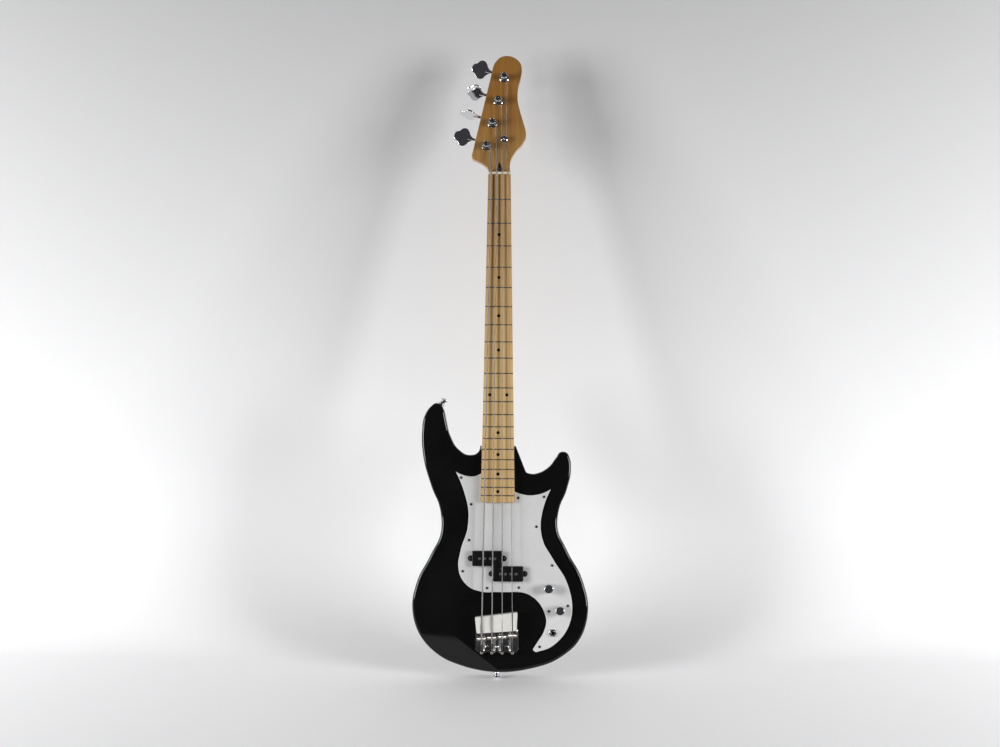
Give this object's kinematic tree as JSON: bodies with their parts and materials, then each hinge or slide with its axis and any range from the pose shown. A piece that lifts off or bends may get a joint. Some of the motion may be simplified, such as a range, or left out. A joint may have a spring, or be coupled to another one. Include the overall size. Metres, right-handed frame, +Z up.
{
  "type": "electric bass guitar",
  "caption": "Solid-body electric bass guitar with bolt-on maple neck, split pickup, white pickguard, sliding bridge saddles and worm-gear tuning machines.",
  "frame": {"origin": "seat of the end strap button at the bottom of the body, on the centre line at mid thickness", "axes": "+Z up along the neck to the headstock, front of the body towards -Y, +X to the right (treble side) seen from the front"},
  "size_m": [0.3275, 0.0682, 1.1791],
  "materials": {
    "black_lacquer": "gloss black lacquer over solid wood",
    "maple": "clear gloss lacquer over amber maple",
    "fret_wire": "polished nickel silver",
    "black_inlay": "gloss",
    "bone": "satin ivory",
    "steel": "plain steel",
    "chrome": "polished plating",
    "white_plastic": "gloss white sheet",
    "black_plastic": "satin black moulding",
    "coil_wrap": "wrapped copper winding",
    "pole_steel": "bare magnet rod",
    "foam": "soft open-cell foam",
    "string_nickel": "round-wound nickel",
    "wire_cover": "insulated leads"
  },
  "bodies": {
    "instrument": {"body": "black_lacquer", "neck": "maple", "fretboard": "maple", "frets": "fret_wire", "position_dots": "black_inlay", "string_nut": "bone", "truss_rod": "steel", "neck_plate": "chrome", "neck_screws": "chrome", "pickguard": "white_plastic", "pickguard_screws": "chrome", "pickup_covers": "black_plastic", "pickup_coils": "coil_wrap", "pickup_poles": "pole_steel", "pickup_screws": "chrome", "bridge_plate": "chrome", "bridge_screws": "chrome", "string_mute": "foam", "tuner_plates": "chrome", "tuner_screws": "chrome", "tuner_bushings": "chrome", "string_tree": "chrome", "potentiometers": "steel", "control_nuts": "chrome", "output_jack": "chrome", "wiring_harness": "wire_cover", "strap_buttons": "chrome", "intonation_spring_e": "steel", "string_e": "string_nickel", "intonation_spring_a": "steel", "string_a": "string_nickel", "intonation_spring_d": "steel", "string_d": "string_nickel", "intonation_spring_g": "steel", "string_g": "string_nickel"},
    "key_e": {"tuner_key_e": "chrome"},
    "post_e": {"tuner_post_e": "chrome"},
    "key_a": {"tuner_key_a": "chrome"},
    "post_a": {"tuner_post_a": "chrome"},
    "key_d": {"tuner_key_d": "chrome"},
    "post_d": {"tuner_post_d": "chrome"},
    "key_g": {"tuner_key_g": "chrome"},
    "post_g": {"tuner_post_g": "chrome"},
    "volume_control": {"volume_shaft": "steel", "volume_knob": "chrome"},
    "tone_control": {"tone_shaft": "steel", "tone_knob": "chrome"},
    "intonation_e": {"intonation_screw_e": "chrome"},
    "saddle_e": {"saddle_e": "chrome", "height_screws_e": "steel"},
    "intonation_a": {"intonation_screw_a": "chrome"},
    "saddle_a": {"saddle_a": "chrome", "height_screws_a": "steel"},
    "intonation_d": {"intonation_screw_d": "chrome"},
    "saddle_d": {"saddle_d": "chrome", "height_screws_d": "steel"},
    "intonation_g": {"intonation_screw_g": "chrome"},
    "saddle_g": {"saddle_g": "chrome", "height_screws_g": "steel"},
    "truss_nut": {"truss_rod_nut": "steel"}
  },
  "joints": [
    {"name": "key_e_turn", "type": "hinge", "parent": "instrument", "child": "key_e", "pos_m": [-0.02252, -0.0028, 0.99945], "axis": [-0.9686, 0, 0.2487], "continuous": true},
    {"name": "post_e_turn", "type": "hinge", "parent": "instrument", "child": "post_e", "pos_m": [-0.0253, -0.0089, 0.9886], "axis": [0, -1, 0], "continuous": true},
    {"name": "key_a_turn", "type": "hinge", "parent": "instrument", "child": "key_a", "pos_m": [-0.01141, -0.0028, 1.04345], "axis": [-0.9686, 0, 0.2487], "continuous": true},
    {"name": "post_a_turn", "type": "hinge", "parent": "instrument", "child": "post_a", "pos_m": [-0.0142, -0.0089, 1.0326], "axis": [0, -1, 0], "continuous": true},
    {"name": "key_d_turn", "type": "hinge", "parent": "instrument", "child": "key_d", "pos_m": [-0.00042, -0.0028, 1.08695], "axis": [-0.9686, 0, 0.2487], "continuous": true},
    {"name": "post_d_turn", "type": "hinge", "parent": "instrument", "child": "post_d", "pos_m": [-0.0032, -0.0089, 1.0761], "axis": [0, -1, 0], "continuous": true},
    {"name": "key_g_turn", "type": "hinge", "parent": "instrument", "child": "key_g", "pos_m": [0.01078, -0.0028, 1.13195], "axis": [-0.9686, 0, 0.2487], "continuous": true},
    {"name": "post_g_turn", "type": "hinge", "parent": "instrument", "child": "post_g", "pos_m": [0.008, -0.0089, 1.1211], "axis": [0, -1, 0], "continuous": true},
    {"name": "volume_turn", "type": "hinge", "parent": "instrument", "child": "volume_control", "pos_m": [0.0951, -0.0238, 0.1545], "axis": [0, -1, 0], "range_deg": [-150, 150]},
    {"name": "tone_turn", "type": "hinge", "parent": "instrument", "child": "tone_control", "pos_m": [0.1161, -0.0238, 0.1143], "axis": [0, -1, 0], "range_deg": [-150, 150]},
    {"name": "intonation_e_turn", "type": "hinge", "parent": "instrument", "child": "intonation_e", "pos_m": [-0.024, -0.03113, 0.04], "axis": [0, 0, 1], "range_deg": [-2166, 2526]},
    {"name": "saddle_e_slide", "type": "slide", "parent": "instrument", "child": "saddle_e", "axis": [0, 0, 1], "range_m": [-0.0035, 0.003], "deforming": ["intonation_spring_e"]},
    {"name": "intonation_a_turn", "type": "hinge", "parent": "instrument", "child": "intonation_a", "pos_m": [-0.005, -0.03254, 0.04], "axis": [0, 0, 1], "range_deg": [-2166, 2526]},
    {"name": "saddle_a_slide", "type": "slide", "parent": "instrument", "child": "saddle_a", "axis": [0, 0, 1], "range_m": [-0.0035, 0.003], "deforming": ["intonation_spring_a"]},
    {"name": "intonation_d_turn", "type": "hinge", "parent": "instrument", "child": "intonation_d", "pos_m": [0.005, -0.03253, 0.04], "axis": [0, 0, 1], "range_deg": [-2166, 2526]},
    {"name": "saddle_d_slide", "type": "slide", "parent": "instrument", "child": "saddle_d", "axis": [0, 0, 1], "range_m": [-0.0035, 0.003], "deforming": ["intonation_spring_d"]},
    {"name": "intonation_g_turn", "type": "hinge", "parent": "instrument", "child": "intonation_g", "pos_m": [0.024, -0.0311, 0.04], "axis": [0, 0, 1], "range_deg": [-2166, 2526]},
    {"name": "saddle_g_slide", "type": "slide", "parent": "instrument", "child": "saddle_g", "axis": [0, 0, 1], "range_m": [-0.0035, 0.003], "deforming": ["intonation_spring_g"]},
    {"name": "truss_nut_turn", "type": "hinge", "parent": "instrument", "child": "truss_nut", "pos_m": [0, -0.0179, 0.9381], "axis": [0, 0, 1], "range_deg": [-360, 360]}
  ],
  "couplings": [
    {"joint": "post_e_turn", "follows": "key_e_turn", "ratio": -0.05},
    {"joint": "post_a_turn", "follows": "key_a_turn", "ratio": -0.05},
    {"joint": "post_d_turn", "follows": "key_d_turn", "ratio": -0.05},
    {"joint": "post_g_turn", "follows": "key_g_turn", "ratio": -0.05},
    {"joint": "intonation_e_turn", "follows": "saddle_e_slide", "rad_per_m": -12566},
    {"joint": "intonation_a_turn", "follows": "saddle_a_slide", "rad_per_m": -12566},
    {"joint": "intonation_d_turn", "follows": "saddle_d_slide", "rad_per_m": -12566},
    {"joint": "intonation_g_turn", "follows": "saddle_g_slide", "rad_per_m": -12566}
  ]
}
